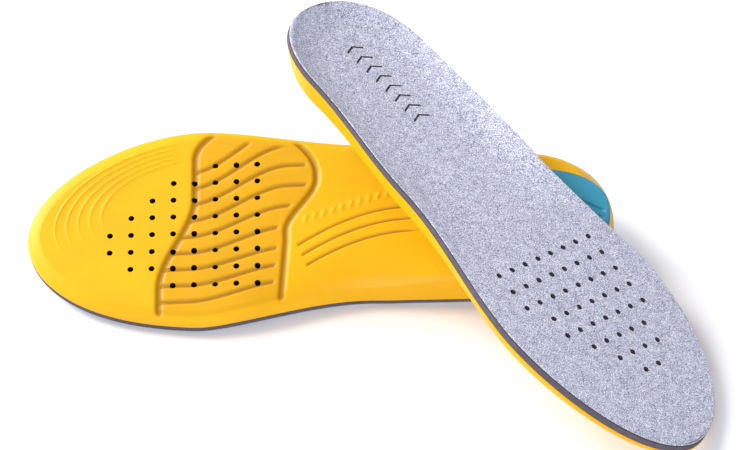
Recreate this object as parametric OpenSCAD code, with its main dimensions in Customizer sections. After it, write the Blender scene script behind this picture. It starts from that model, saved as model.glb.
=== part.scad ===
// Pair of cushioned insoles. The left one lies upside down on the floor and the right one
// lies across it, face up. Each insole is a moulded foam body with a heel pad let into its
// underside, a foam lining laminated on top of it and a brushed fabric cover over that.

/* [Outline] */
// Length of one insole from heel to toe
insole_length = 265; // [235:1:320]
// Width across the ball of the foot
ball_width = 100; // [86:1:120]
// Width of the heel cup at its rim
heel_width = 72; // [60:1:86]
// Width of the waist between heel and ball
waist_width = 77; // [66:1:92]
// Sideways shift of the toe tip towards the big toe
toe_shift = 3; // [0:0.5:8]

/* [Thickness] */
// Whole thickness under the ball of the foot
forefoot_thickness = 8.8; // [7:0.1:12]
// Whole thickness at the tip of the toe
toe_thickness = 8.2; // [6.4:0.1:11]
// Whole thickness under the middle of the heel
heel_thickness = 9.8; // [9:0.1:14]
// Thickness of the fabric cover
cover_thickness = 0.8; // [0.5:0.1:1.2]
// Thickness of the foam lining at the forefoot
lining_thickness = 2.8; // [1.4:0.1:3.4]
// Thickness of the foam lining round the heel
lining_heel_thickness = 2.2; // [0.8:0.1:2.8]
// Adhesive film between two layers
glue_line = 0.1; // [0.05:0.01:0.2]

/* [Heel cup and arch] */
// Height of the rim behind the heel
heel_rim = 16; // [13:0.5:22]
// Height of the flange along the arch
arch_rim = 17; // [13:0.5:22]
// Height of the rim along the outer side of the foot
outer_rim = 12.5; // [11:0.5:18]
// Hollow of the underside below the arch
arch_lift = 5; // [0:0.5:7]
// Inward slope of the side wall at the heel
heel_spread = 4.5; // [3:0.5:8]
// Inward slope of the side wall at the forefoot
forefoot_spread = 1.1; // [0.8:0.1:3]
// Height of the rounding along the edge of the sole
sole_rounding = 1.4; // [0.5:0.1:1.8]

/* [Heel pad] */
// Length of the heel pad
pad_length = 66; // [50:1:84]
// Depth of the heel pad let into the sole
pad_depth = 3.2; // [2:0.1:4]
// How far the heel pad stands proud of the sole
pad_proud = 1; // [0.2:0.1:1.2]
// Distance of the heel pad's outline from the edge of the sole
pad_margin = 0.5; // [0.5:0.1:6]
// Gap between the heel pad and its recess
pad_clearance = 0.15; // [0.05:0.05:0.3]

/* [Perforations] */
// Diameter of the air holes in the forefoot
hole_diameter = 2; // [1.2:0.1:3]
// Spacing of the air holes along the foot
hole_pitch = 9.5; // [7:0.1:12]
// Spacing of the air holes across the foot
hole_gauge = 8.7; // [6:0.1:9.5]
// Distance from the heel end to the middle of the hole pattern
hole_centre = 194; // [170:1:240]

/* [Arrangement] */
// Turn of the left insole on the floor
left_heading = 180.5; // [170:0.5:190]
// Slope of the left insole down towards its toe
left_slope = 2.5; // [1.5:0.5:6]
// Lean of the left insole down towards its arch side
left_lean = 15; // [6:1:18]
// Turn of the right insole over the left one
right_heading = -48.5; // [-60:0.5:-45]
// Slope of the right insole down towards its toe
right_slope = 11.5; // [5:0.5:13]
// Lean of the right insole down towards its arch side
right_lean = 18; // [8:1:20]
// Distance from the left heel to the place where the two insoles cross
left_crossing = 75; // [60:1:90]
// Distance from the right heel to the place where the two insoles cross
right_crossing = 101; // [90:1:130]
// Sag of the right toe below the line of the heel and the waist
toe_sag = 17; // [0:0.5:18]
// Gap between the smooth shapes of the two insoles where one rests on the other
rest_gap = 0.6; // [0.5:0.1:1]

/* [Hidden] */

// Stations along the foot, measured from the heel end
heel_station = 0.16 * insole_length;
waist_station = 0.41 * insole_length;
ball_station = 0.72 * insole_length;

// Lengths and powers of the round ends of the outline
heel_round = 38;
heel_power = 2.2;
toe_round = 84;
toe_power = 1.95;

// Share of the waist that lies on the arch side
waist_inner = 0.455 * waist_width;
waist_outer = waist_width - waist_inner;

// Sharpness of the dish of the heel cup, of the arch hollow and of the sole's rounding
cup_power = 4;
hollow_power = 2.5;
rounding_power = 8;

// Pieces that each net of points is divided into, along the foot and to each side
ROWS = 38;
COLS = 7;
row_size = 2 * COLS + 1;
net_size = 2 + (ROWS - 1) * row_size;

// Surfaces of one insole, from the top down
COVER_TOP = 0;
COVER_BACK = 1;
LINING_TOP = 2;
LINING_BACK = 3;
FOAM_TOP = 4;
SOLE = 5;

// Heel pad: its ends along the foot and how they are rounded
pad_back = heel_spread + pad_margin;
pad_front = pad_back + pad_length;
pad_back_round = heel_round - pad_margin;
pad_front_round = 16;
pad_front_power = 2.6;
PAD_STEPS = 24;

// First and last hole of each row, from the heel side to the toe side
hole_rows = [[0, 7], [0, 7], [0, 7], [1, 7], [1, 7], [2, 6], [3, 6], [4, 5]];
hole_middle = 3.5;

foam_colour = [0.98, 0.78, 0.10];
pad_colour = [0.08, 0.52, 0.66];
lining_colour = [0.25, 0.25, 0.27];
cover_colour = [0.72, 0.72, 0.80];

function ease(t) = let (c = min(1, max(0, t))) c * c * (3 - 2 * c);
function blend(a, b, t) = a + (b - a) * ease(t);
function rounded(t, n) = pow(max(0, 1 - pow(min(1, max(0, t)), n)), 1 / n);

// Outline at distance x from the heel: middle line and reach to one side of it
function middle(x) = blend(0, toe_shift, (x - ball_station) / (insole_length - ball_station));
function half_width(x, side) =
  let (waist = side > 0 ? waist_inner : waist_outer)
  x < waist_station
    ? blend(heel_width / 2, waist, (x - heel_station) / (waist_station - heel_station))
    : blend(waist, ball_width / 2, (x - waist_station) / (ball_station - waist_station));
function end_round(x) =
  rounded(1 - x / heel_round, heel_power)
  * rounded((x - insole_length + toe_round) / toe_round, toe_power);
function reach(x, side) = half_width(x, side) * end_round(x);

// Heights above the sole of the seat, the rim and the surface between them, at share v of the reach
function seat(x) =
  blend(heel_thickness, forefoot_thickness, (x - heel_station) / (waist_station - heel_station))
  + blend(0, toe_thickness - forefoot_thickness, (x - ball_station) / (insole_length - ball_station));
function rim(x, side) =
  let (
    high = blend(heel_rim, side > 0 ? arch_rim : outer_rim, x / waist_station),
    fall_start = 0.9 * waist_station,
    fall_end = 0.92 * ball_station
  )
  blend(high, seat(x), (x - fall_start) / (fall_end - fall_start));
function cup(x, v) =
  let (back = max(0, 1 - x / heel_round), across = abs(v) * (back > 0 ? end_round(x) : 1))
  min(1, norm([back, across]));
function top_height(x, v) = seat(x) + (rim(x, v) - seat(x)) * pow(cup(x, v), cup_power);

// Depth of each laminated surface below the top of the cover
function lining_depth(x) =
  blend(lining_heel_thickness, lining_thickness, (x - heel_station) / (ball_station - heel_station));
function depth(level, x) =
  (level > COVER_TOP ? cover_thickness : 0) + (level > COVER_BACK ? glue_line : 0)
  + (level > LINING_TOP ? lining_depth(x) : 0) + (level > LINING_BACK ? glue_line : 0);

// Underside: it is drawn in by the slope of the side wall and hollowed below the arch
function spread(x) = blend(heel_spread, forefoot_spread, (x - heel_station) / (ball_station - heel_station));
function sole_reach(x, side) = reach(x, side) * max(0.3, 1 - spread(x) / max(1, reach(x, side)));
function sole_span() = insole_length - heel_spread - forefoot_spread;
function sole_x(x) = heel_spread + x / insole_length * sole_span();
function hollow(x) =
  arch_lift * ease((x - heel_station) / (waist_station - heel_station))
  * (1 - ease((x - waist_station) / (0.9 * ball_station - waist_station)));
function sole_height(x, v) =
  sole_rounding * pow(abs(v), rounding_power) + hollow(x) * pow(max(0, v), hollow_power);

// Sag of the toe end, and the points of a surface with that sag
function sag(x, drop) = -drop * pow(max(0, x - waist_station) / (insole_length - waist_station), 2);
function surface_point(level, x, v, drop) =
  level == SOLE
    ? [sole_x(x), middle(x) + v * sole_reach(x, v), sole_height(x, v) + sag(x, drop)]
    : [x, middle(x) + v * reach(x, v), top_height(x, v) - depth(level, x) + sag(x, drop)];
function station(i) = insole_length * (1 - cos(180 * i / ROWS)) / 2;
function net(level, drop) = [
  surface_point(level, 0, 0, drop),
  for (i = [1 : ROWS - 1])
    for (j = [-COLS : COLS])
      surface_point(level, station(i), j / COLS, drop),
  surface_point(level, insole_length, 0, drop)
];

// Place of row i and column j in a net, whose two end rows are single points
function spot(i, j) = i == 0 ? 0 : i == ROWS ? net_size - 1 : 1 + (i - 1) * row_size + j;
function top_faces(base) = [
  for (j = [0 : row_size - 2])
    [base + spot(0, 0), base + spot(1, j + 1), base + spot(1, j)],
  for (j = [0 : row_size - 2])
    [base + spot(ROWS, 0), base + spot(ROWS - 1, j), base + spot(ROWS - 1, j + 1)],
  for (i = [1 : ROWS - 2])
    for (j = [0 : row_size - 2])
      each [
        [base + spot(i, j), base + spot(i, j + 1), base + spot(i + 1, j + 1)],
        [base + spot(i, j), base + spot(i + 1, j + 1), base + spot(i + 1, j)]
      ]
];
function flipped(faces) = [for (f = faces) [f[2], f[1], f[0]]];
function wall_faces(j) = [
  for (i = [0 : ROWS - 1])
    each [
      [net_size + spot(i, j), spot(i + 1, j), spot(i, j)],
      [net_size + spot(i, j), net_size + spot(i + 1, j), spot(i + 1, j)]
    ]
];
function layer_faces() = concat(
  top_faces(0),
  flipped(top_faces(net_size)),
  wall_faces(row_size - 1),
  flipped(wall_faces(0))
);

// Heel pad outline, grown all round by the given amount
function pad_half(x, side, grow) =
  (sole_reach(heel_station, side) - pad_margin + grow)
  * rounded(1 - (x - pad_back + grow) / pad_back_round, heel_power)
  * rounded((x - pad_front - grow + pad_front_round) / pad_front_round, pad_front_power);
function pad_station(i, grow) =
  pad_back - grow + (pad_length + 2 * grow) * (1 - cos(180 * i / PAD_STEPS)) / 2;
function pad_side(side, grow, steps) = [
  for (i = steps)
    let (x = pad_station(i, grow))
    [x, side * pad_half(x, side, grow)]
];
function pad_outline(grow) = concat(
  pad_side(-1, grow, [0 : PAD_STEPS]),
  pad_side(1, grow, [PAD_STEPS - 1 : -1 : 1])
);

// An insole is leaned about its length, sloped towards its toe and then turned to its heading
function leaned(p, a) = [p.x, p.y * cos(a) + p.z * sin(a), p.z * cos(a) - p.y * sin(a)];
function sloped(p, a) = [p.x * cos(a) + p.z * sin(a), p.y, p.z * cos(a) - p.x * sin(a)];
function turned(p, a) = [p.x * cos(a) - p.y * sin(a), p.x * sin(a) + p.y * cos(a), p.z];
function left_way(p) =
  turned(sloped(leaned([p.x, p.y, -p.z], left_lean), left_slope), left_heading);
function right_way(p) = turned(sloped(leaned(p, right_lean), right_slope), right_heading);
function right_way_back(p) = leaned(sloped(turned(p, -right_heading), -right_slope), -right_lean);

// Both middle lines pass over one crossing, which is the start of the arrangement
function flat(p) = [p.x, p.y, 0];
left_start = -flat(left_way([left_crossing, 0, 0]));
right_start = -flat(right_way([right_crossing, 0, 0]));

// Height at which the left insole touches the floor
function lowest(points) = min([for (p = points) p.z]);
left_rise = -lowest([for (p = concat(net(COVER_TOP, 0), net(SOLE, 0))) left_way(p)]);

// Outer face of the left insole's underside, heel pad included
function pad_stand(x) = x < pad_front ? pad_proud : 0;
left_bumps = [
  for (p = concat(
    [for (q = net(SOLE, 0)) q - [0, 0, pad_stand(q.x)]],
    [for (q = pad_outline(0)) [q.x, q.y, -pad_proud]]
  ))
    left_start + [0, 0, left_rise] + left_way(p)
];

// Height of the right insole's underside or side wall over its own point x, y
function belly(x, y) =
  let (
    s = min(insole_length, max(0, (x - heel_spread) / sole_span() * insole_length)),
    side = y - middle(s),
    inner = sole_reach(s, side),
    outer = reach(min(insole_length, max(0, x)), side),
    edge = sole_height(s, sign(side)),
    eave = rim(s, side) - depth(FOAM_TOP, s),
    out = (abs(side) - inner) / max(0.1, outer - inner)
  )
  (x < 0 || x > insole_length || out > 1)
    ? 1000
    : sag(s, toe_sag) - pad_stand(x)
      + (out > 0 ? edge + out * (eave - edge) : sole_height(s, side / max(0.1, inner)));

// Rise that lifts the right insole just clear of the left one, and clear of the floor
upright = cos(right_slope) * cos(right_lean);
function settled(rise) =
  rise + max([
    for (b = left_bumps)
      let (q = right_way_back(b - right_start - [0, 0, rise]))
      (q.z + rest_gap - belly(q.x, q.y)) / upright
  ]);
function resting(rise, tries) = tries == 0 ? rise : resting(settled(rise), tries - 1);
floor_rise = -lowest([for (p = concat(net(SOLE, toe_sag), net(FOAM_TOP, toe_sag))) right_way(p)]);
right_rise = max(floor_rise, resting(50, 5));

// Middle of the space that the pair takes up on the floor
pair_points = [
  for (level = [COVER_TOP, COVER_BACK, FOAM_TOP, SOLE])
    each concat(
      [for (p = net(level, 0)) left_start + left_way(p)],
      [for (p = net(level, toe_sag)) right_start + right_way(p)]
    )
];
function midway(values) = (min(values) + max(values)) / 2;
pair_middle = [midway([for (p = pair_points) p.x]), midway([for (p = pair_points) p.y]), 0];

module lay_left() {
  translate(left_start - pair_middle + [0, 0, left_rise])
    rotate([0, 0, left_heading])
      rotate([0, left_slope, 0])
        rotate([-left_lean, 0, 0])
          mirror([0, 0, 1])
            children();
}

module lay_right() {
  translate(right_start - pair_middle + [0, 0, right_rise])
    rotate([0, 0, right_heading])
      rotate([0, right_slope, 0])
        rotate([-right_lean, 0, 0])
          children();
}

// Closed layer between two surfaces of the insole
module layer(upper, lower, drop) {
  polyhedron(points = concat(net(upper, drop), net(lower, drop)), faces = layer_faces());
}

module air_holes(drop) {
  tall = heel_rim + drop + 2;
  for (i = [0 : len(hole_rows) - 1])
    for (j = [hole_rows[i][0] : hole_rows[i][1]])
      translate([hole_centre + (i - hole_middle) * hole_pitch, (j - hole_middle) * hole_gauge, -drop - 1])
        cylinder(h = tall, d = hole_diameter, $fn = 24);
}

module pad_blank(grow, low, high) {
  translate([0, 0, low])
    linear_extrude(height = high - low)
      polygon(pad_outline(grow));
}

module foam_body(drop) {
  color(foam_colour)
    difference() {
      layer(FOAM_TOP, SOLE, drop);
      pad_blank(pad_clearance, -1, pad_depth + pad_clearance);
      air_holes(drop);
    }
}

module heel_pad() {
  color(pad_colour)
    pad_blank(0, -pad_proud, pad_depth);
}

module lining(drop) {
  color(lining_colour)
    difference() {
      layer(LINING_TOP, LINING_BACK, drop);
      air_holes(drop);
    }
}

module top_cover(drop) {
  color(cover_colour)
    difference() {
      layer(COVER_TOP, COVER_BACK, drop);
      air_holes(drop);
    }
}

module left_foam_body() { lay_left() foam_body(0); }
module left_heel_pad() { lay_left() heel_pad(); }
module left_lining() { lay_left() lining(0); }
module left_top_cover() { lay_left() top_cover(0); }
module right_foam_body() { lay_right() foam_body(toe_sag); }
module right_heel_pad() { lay_right() heel_pad(); }
module right_lining() { lay_right() lining(toe_sag); }
module right_top_cover() { lay_right() top_cover(toe_sag); }

left_foam_body();
left_heel_pad();
left_lining();
left_top_cover();
right_foam_body();
right_heel_pad();
right_lining();
right_top_cover();
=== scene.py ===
import math

import bpy
import numpy as np
from bpy.props import FloatProperty, FloatVectorProperty, PointerProperty
from mathutils import Matrix, Vector, kdtree


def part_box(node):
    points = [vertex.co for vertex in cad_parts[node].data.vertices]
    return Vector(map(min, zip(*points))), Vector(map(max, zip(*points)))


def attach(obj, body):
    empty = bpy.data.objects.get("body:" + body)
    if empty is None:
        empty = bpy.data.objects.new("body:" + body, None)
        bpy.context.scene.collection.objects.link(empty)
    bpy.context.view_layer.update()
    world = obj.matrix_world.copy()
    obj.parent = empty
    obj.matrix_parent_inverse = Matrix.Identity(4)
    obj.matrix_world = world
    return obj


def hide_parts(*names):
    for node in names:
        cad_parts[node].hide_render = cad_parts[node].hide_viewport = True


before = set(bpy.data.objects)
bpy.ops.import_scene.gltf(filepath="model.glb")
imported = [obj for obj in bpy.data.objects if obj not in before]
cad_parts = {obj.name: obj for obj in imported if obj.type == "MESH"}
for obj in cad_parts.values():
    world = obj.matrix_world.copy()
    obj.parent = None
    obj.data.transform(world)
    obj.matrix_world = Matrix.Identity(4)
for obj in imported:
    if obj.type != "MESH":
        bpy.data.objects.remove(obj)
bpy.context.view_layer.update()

bl_info = {
    "name": "Cushioned insole pair",
    "version": (1, 0, 0),
    "blender": (4, 5, 0),
    "location": "3D View > Sidebar > Insoles",
    "description": "Builds a pair of laminated foam insoles on a stage, around their CAD frame",
    "category": "Object",
}

MM = 0.001

# The surfaces of one insole, from the top down, as the CAD stacks them
COVER_TOP, COVER_BACK, LINING_TOP, LINING_BACK, FOAM_TOP, SOLE = range(6)

# The CAD's own net, which fixes where each insole lies in the frame
CAD_ROWS, CAD_COLS = 38, 7

# First and last air hole of each row across the foot, from the heel side to the toe side
HOLE_ROWS = ((0, 7), (0, 7), (0, 7), (1, 7), (1, 7), (2, 6), (3, 6), (4, 5))
HOLE_MIDDLE = 3.5

# Nearly all of a noise's values lie between these two
NOISE_SPAN = {"From Min": 0.3, "From Max": 0.7}


def linear(code):
    """The linear red, green and blue of an sRGB hex colour."""
    parts = [int(code[i : i + 2], 16) / 255 for i in (1, 3, 5)]
    return [c / 12.92 if c <= 0.04045 else ((c + 0.055) / 1.055) ** 2.4 for c in parts]


# ---------------------------------------------------------------- settings


class InsoleSizes(bpy.types.PropertyGroup):
    """Sizes of one insole. They repeat the CAD's, so that the visible pieces fit its nodes."""

    length: FloatProperty(
        name="Length", description="Heel end to toe tip", default=0.265, unit="LENGTH"
    )
    ball_width: FloatProperty(
        name="Ball width", description="Width across the ball of the foot",
        default=0.100, unit="LENGTH",
    )
    heel_width: FloatProperty(
        name="Heel width", description="Width of the heel cup at its rim",
        default=0.072, unit="LENGTH",
    )
    waist_width: FloatProperty(
        name="Waist width", description="Width between heel and ball", default=0.077, unit="LENGTH"
    )
    toe_shift: FloatProperty(
        name="Toe shift", description="Shift of the toe tip towards the big toe",
        default=0.003, unit="LENGTH",
    )
    forefoot_thickness: FloatProperty(
        name="Forefoot thickness", description="All layers under the ball",
        default=0.0088, unit="LENGTH",
    )
    toe_thickness: FloatProperty(
        name="Toe thickness", description="All layers at the toe tip", default=0.0082, unit="LENGTH"
    )
    heel_thickness: FloatProperty(
        name="Heel thickness", description="All layers under the heel",
        default=0.0098, unit="LENGTH",
    )
    cover_thickness: FloatProperty(
        name="Cover thickness", description="Brushed fabric on top", default=0.0008, unit="LENGTH"
    )
    lining_thickness: FloatProperty(
        name="Lining thickness", description="Foam sheet under the cover, forefoot",
        default=0.0028, unit="LENGTH",
    )
    lining_heel_thickness: FloatProperty(
        name="Heel lining", description="The same sheet, drawn thin round the heel",
        default=0.0022, unit="LENGTH",
    )
    heel_rim: FloatProperty(
        name="Heel rim", description="Height of the rim behind the heel",
        default=0.016, unit="LENGTH",
    )
    arch_rim: FloatProperty(
        name="Arch rim", description="Height of the flange along the arch",
        default=0.017, unit="LENGTH",
    )
    outer_rim: FloatProperty(
        name="Outer rim", description="Height of the rim on the outer side",
        default=0.0125, unit="LENGTH",
    )
    pad_length: FloatProperty(
        name="Heel pad length", description="Length of the shock pad's node in the CAD",
        default=0.066, unit="LENGTH",
    )
    hole_diameter: FloatProperty(
        name="Air hole diameter", description="Diameter of the punched holes",
        default=0.002, unit="LENGTH",
    )


class InsoleRelief(bpy.types.PropertyGroup):
    """Depths and widths of what is moulded into the sole."""

    sweep_depth: FloatProperty(
        name="Sweep depth", description="Depth of the two S-shaped channels",
        default=0.0013, unit="LENGTH",
    )
    sweep_width: FloatProperty(
        name="Sweep width", description="Width of the two S-shaped channels",
        default=0.0044, unit="LENGTH",
    )
    rib_depth: FloatProperty(
        name="Rib depth", description="Depth of the channels between the flex ribs",
        default=0.0009, unit="LENGTH",
    )
    rib_width: FloatProperty(
        name="Rib channel width", description="Width of the channels between the flex ribs",
        default=0.0030, unit="LENGTH",
    )
    rib_spacing: FloatProperty(
        name="Rib spacing", description="Distance between two flex ribs",
        default=0.0082, unit="LENGTH",
    )
    contour_height: FloatProperty(
        name="Contour height", description="Height of the fine lines round the toe",
        default=0.0004, unit="LENGTH",
    )
    arch_line_depth: FloatProperty(
        name="Arch line depth", description="Depth of the three lines below the arch",
        default=0.0009, unit="LENGTH",
    )
    mark_height: FloatProperty(
        name="Stud height", description="Height of the plain embossed studs",
        default=0.0003, unit="LENGTH",
    )


class PairLayout(bpy.types.PropertyGroup):
    """How the two insoles lie. The angles repeat the CAD's."""

    left_heading: FloatProperty(
        name="Left heading", description="Turn of the left insole",
        default=math.radians(180.5), subtype="ANGLE",
    )
    left_slope: FloatProperty(
        name="Left slope", description="Slope towards its toe",
        default=math.radians(2.5), subtype="ANGLE",
    )
    left_lean: FloatProperty(
        name="Left lean", description="Lean towards its arch side",
        default=math.radians(15), subtype="ANGLE",
    )
    right_heading: FloatProperty(
        name="Right heading", description="Turn of the right insole",
        default=math.radians(-48.5), subtype="ANGLE",
    )
    right_slope: FloatProperty(
        name="Right slope", description="Slope towards its toe",
        default=math.radians(11.5), subtype="ANGLE",
    )
    right_lean: FloatProperty(
        name="Right lean", description="Lean towards its arch side",
        default=math.radians(18), subtype="ANGLE",
    )
    toe_sag: FloatProperty(
        name="Toe sag", description="Sag of the right toe", default=0.017, unit="LENGTH"
    )


class InsoleColours(bpy.types.PropertyGroup):
    """Colours of the four materials and of the stage."""

    foam: FloatVectorProperty(
        name="Foam", description="Moulded polyurethane body", default=linear("#E2A902"),
        subtype="COLOR", min=0, max=1,
    )
    # Painted shade: this darker foam stands for the shade that falls in the sole's grooves
    foam_groove_shade: FloatVectorProperty(
        name="Foam in grooves", description="The same foam where the skin is thick",
        default=linear("#AA7803"),
        subtype="COLOR", min=0, max=1,
    )
    pad: FloatVectorProperty(
        name="Heel pad", description="Moulded elastomer pad", default=linear("#257E9A"),
        subtype="COLOR", min=0, max=1,
    )
    lining: FloatVectorProperty(
        name="Lining", description="Cut foam sheet", default=linear("#4A454A"),
        subtype="COLOR", min=0, max=1,
    )
    cover: FloatVectorProperty(
        name="Cover", description="Middle shade of the brushed fabric", default=linear("#BBBCCE"),
        subtype="COLOR", min=0, max=1,
    )
    floor: FloatVectorProperty(
        name="Floor", description="Paper sweep under the pair", default=linear("#EDEDEE"),
        subtype="COLOR", min=0, max=1,
    )


# ---------------------------------------------------------------- shape of an insole


def ease(t):
    """0 to 1 with level ends."""
    t = np.clip(t, 0, 1)
    return t * t * (3 - 2 * t)


def blend(a, b, t):
    """From a to b as t goes from 0 to 1."""
    return a + (b - a) * ease(t)


def progress(x, start, end):
    """How far x has come from start to end, as a share of the way."""
    return (x - start) / (end - start)


def rounded(t, power):
    """Height of a rounded end at share t of the way to its tip."""
    return np.maximum(0, 1 - np.clip(t, 0, 1) ** power) ** (1 / power)


def channel(away, width):
    """Section of a moulded channel: 1 in its middle, 0 from half its width outwards."""
    return 0.5 + 0.5 * np.cos(np.pi * np.clip(np.abs(away) / (width / 2), 0, 1))


class Insole:
    """One insole in its own millimetres: x from heel to toe, y towards the arch, z up from the sole."""

    def __init__(self, sizes, relief, drop):
        for group in (sizes, relief):
            for name in type(group).__annotations__:
                setattr(self, name, getattr(group, name) / MM)
        self.drop = drop / MM
        self.glue = 0.1
        self.heel_station = 0.16 * self.length
        self.waist_station = 0.41 * self.length
        self.ball_station = 0.72 * self.length
        self.waist_inner = 0.455 * self.waist_width
        self.waist_outer = self.waist_width - self.waist_inner
        self.heel_round, self.toe_round = 38, 84
        self.heel_power, self.toe_power = 2.2, 1.95
        self.heel_spread, self.forefoot_spread = 4.5, 1.1
        self.arch_lift, self.edge_rise = 5, 1.4
        self.pad_margin, self.pad_depth, self.pad_proud, self.pad_gap = 0.5, 3.2, 1, 0.15
        self.pad_front = self.heel_spread + self.pad_margin + self.pad_length
        # The visible pad reaches further back than its CAD node, and less far to the outer side
        self.pad_lip, self.pad_outer_margin = 3.2, 8.5
        self.pad_back = self.heel_spread + self.pad_margin - self.pad_lip
        self.hole_centre, self.hole_pitch, self.hole_gauge = 194, 9.5, 8.7
        self.hole_flare = 0.35

    # Outline
    def middle(self, x):
        """How far the middle line has moved towards the big toe."""
        return blend(0, self.toe_shift, progress(x, self.ball_station, self.length))

    def reach(self, x, side):
        """Distance from the middle line to the outline, on the arch side where side is positive."""
        waist = np.where(side > 0, self.waist_inner, self.waist_outer)
        near = progress(x, self.heel_station, self.waist_station)
        far = progress(x, self.waist_station, self.ball_station)
        half = np.where(
            x < self.waist_station,
            blend(self.heel_width / 2, waist, near),
            blend(waist, self.ball_width / 2, far),
        )
        return half * self.end_round(x)

    def end_round(self, x):
        """Share of the width that the rounded heel and toe leave."""
        toe = (x - self.length + self.toe_round) / self.toe_round
        return rounded(1 - x / self.heel_round, self.heel_power) * rounded(toe, self.toe_power)

    # Top
    def seat(self, x):
        """Height of the top along the middle."""
        near = progress(x, self.heel_station, self.waist_station)
        far = progress(x, self.ball_station, self.length)
        return blend(self.heel_thickness, self.forefoot_thickness, near) + blend(
            0, self.toe_thickness - self.forefoot_thickness, far
        )

    def rim(self, x, side):
        """Height of the top along the outline."""
        flange = np.where(side > 0, self.arch_rim, self.outer_rim)
        high = blend(self.heel_rim, flange, x / self.waist_station)
        run = progress(x, 0.9 * self.waist_station, 0.92 * self.ball_station)
        return blend(high, self.seat(x), run)

    def top(self, x, v):
        """Height of the top at share v of the reach, cupped towards the rim."""
        back = np.maximum(0, 1 - x / self.heel_round)
        across = np.abs(v) * np.where(back > 0, self.end_round(x), 1)
        cup = np.minimum(1, np.hypot(back, across))
        return self.seat(x) + (self.rim(x, v) - self.seat(x)) * cup**4

    def depth(self, level, x):
        """Depth of a surface below the top."""
        span = progress(x, self.heel_station, self.ball_station)
        lining = blend(self.lining_heel_thickness, self.lining_thickness, span)
        steps = (self.cover_thickness, self.glue, lining, self.glue)
        return sum(steps[:level])

    # Sole
    def sole_reach(self, x, side):
        """Reach of the sole, which the flared wall leaves smaller than the top."""
        span = progress(x, self.heel_station, self.ball_station)
        reach = self.reach(x, side)
        spread = blend(self.heel_spread, self.forefoot_spread, span)
        return reach * np.maximum(0.3, 1 - spread / np.maximum(1, reach))

    def sole_span(self):
        return self.length - self.heel_spread - self.forefoot_spread

    def sole_x(self, x):
        """Where station x of the top lies on the shorter sole."""
        return self.heel_spread + x / self.length * self.sole_span()

    def hollow(self, x, v):
        """Rise of the sole under the arch."""
        rise = ease(progress(x, self.heel_station, self.waist_station))
        fall = 1 - ease(progress(x, self.waist_station, 0.9 * self.ball_station))
        return self.arch_lift * rise * fall * np.maximum(0, v) ** 2.5

    def sag(self, x):
        """Height lost to the bend of the forefoot."""
        run = np.maximum(0, x - self.waist_station) / (self.length - self.waist_station)
        return -self.drop * run**2

    def surface(self, level, x, v):
        """Points of a surface at station x and share v of the reach to either side."""
        x, v = np.broadcast_arrays(np.asarray(x, float), np.asarray(v, float))
        if level == SOLE:
            z = self.hollow(x, v) + self.sag(x)
            return np.stack([self.sole_x(x), self.middle(x) + v * self.sole_reach(x, v), z], -1)
        z = self.top(x, v) - self.depth(level, x) + self.sag(x)
        return np.stack([x, self.middle(x) + v * self.reach(x, v), z], -1)

    def stations(self, rows):
        """Stations whose points on the outline are evenly spaced along it."""
        x = self.length * (1 - np.cos(np.linspace(0, np.pi, 4001))) / 2
        edge = (self.reach(x, 1) + self.reach(x, -1)) / 2
        run = np.concatenate([[0], np.cumsum(np.hypot(np.diff(x), np.diff(edge)))])
        return np.interp(np.linspace(0, run[-1], rows + 1), run, x)

    def sole_edge(self):
        """Points round the edge of the sole, a quarter of a millimetre apart."""
        x = self.stations(1400)
        sides = [self.surface(SOLE, x, side)[:, :2] for side in (1, -1)]
        return np.concatenate([sides[0], sides[1][::-1]])

    def hole_axes(self):
        """Where the air holes run through all layers."""
        return np.array(
            [
                (
                    self.hole_centre + (i - HOLE_MIDDLE) * self.hole_pitch,
                    (j - HOLE_MIDDLE) * self.hole_gauge,
                )
                for i, (first, last) in enumerate(HOLE_ROWS)
                for j in range(first, last + 1)
            ]
        )

    # What is moulded into the sole
    def toe_sweep(self, y):
        """The S-shaped channel on the toe side of the ribs, as x at each y."""
        outer_x, swing, start_y, run = 189, 16, -14, 46
        bow = 0.05 * np.maximum(0, -y - 34) ** 2
        return outer_x + swing * ease((y - start_y) / run) - bow

    def heel_sweep(self, y):
        """The S-shaped channel on the heel side of the ribs, as x at each y."""
        outer_x, swing, start_y, run = 133.7, 14, -22, 27
        bow = 0.03 * np.maximum(0, -y - 24) ** 2
        fan = 0.09 * np.maximum(0, y - 10)
        return outer_x + swing * ease((y - start_y) / run) + bow + fan

    def sweep_away(self, sweep, x, y):
        """Distance of a point from one of the S-shaped channels; it is positive on the toe side."""
        slant = (sweep(y + 0.1) - sweep(y - 0.1)) / 0.2
        return (x - sweep(y)) / np.sqrt(1 + slant**2)

    def rib_channels(self, x, y):
        """1 along the channels between the flex ribs, which swing outwards on the heel side."""
        channels, toe_x, length, outer_y = 9, 192, 46, -26.7
        run = (toe_x - x) / length
        inside = np.clip(run, 0, 1)
        cut = np.zeros_like(x)
        for k in range(channels):
            swing = np.clip(14.5 - 2.3 * (k - 4), 9.6, 24)
            line = self.rib_spacing * k + outer_y - swing * ease(run)
            slant = swing * 6 * inside * (1 - inside) / length
            cut = np.maximum(cut, channel((y - line) / np.sqrt(1 + slant**2), self.rib_width))
        return cut

    def arch_lines(self, x, y):
        """1 along the three curved lines below the arch."""
        lines, toe_x, heel_x, first_y, pitch, width = 3, 143.5, 84, -5.6, 6.2, 2.0
        straight_x, length, swing, power = 92, 46, 15, 1.9
        run = np.clip((x - straight_x) / length, 0, 2)
        slant = swing * power * run ** (power - 1) / length
        cut = np.zeros_like(x)
        for k in range(lines):
            line = first_y + pitch * k + swing * run**power
            ends = ease((toe_x - 2 * k - x) / 1.6) * ease((x - heel_x) / 12)
            cut = np.maximum(cut, ends * channel((y - line) / np.sqrt(1 + slant**2), width))
        return cut

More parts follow.
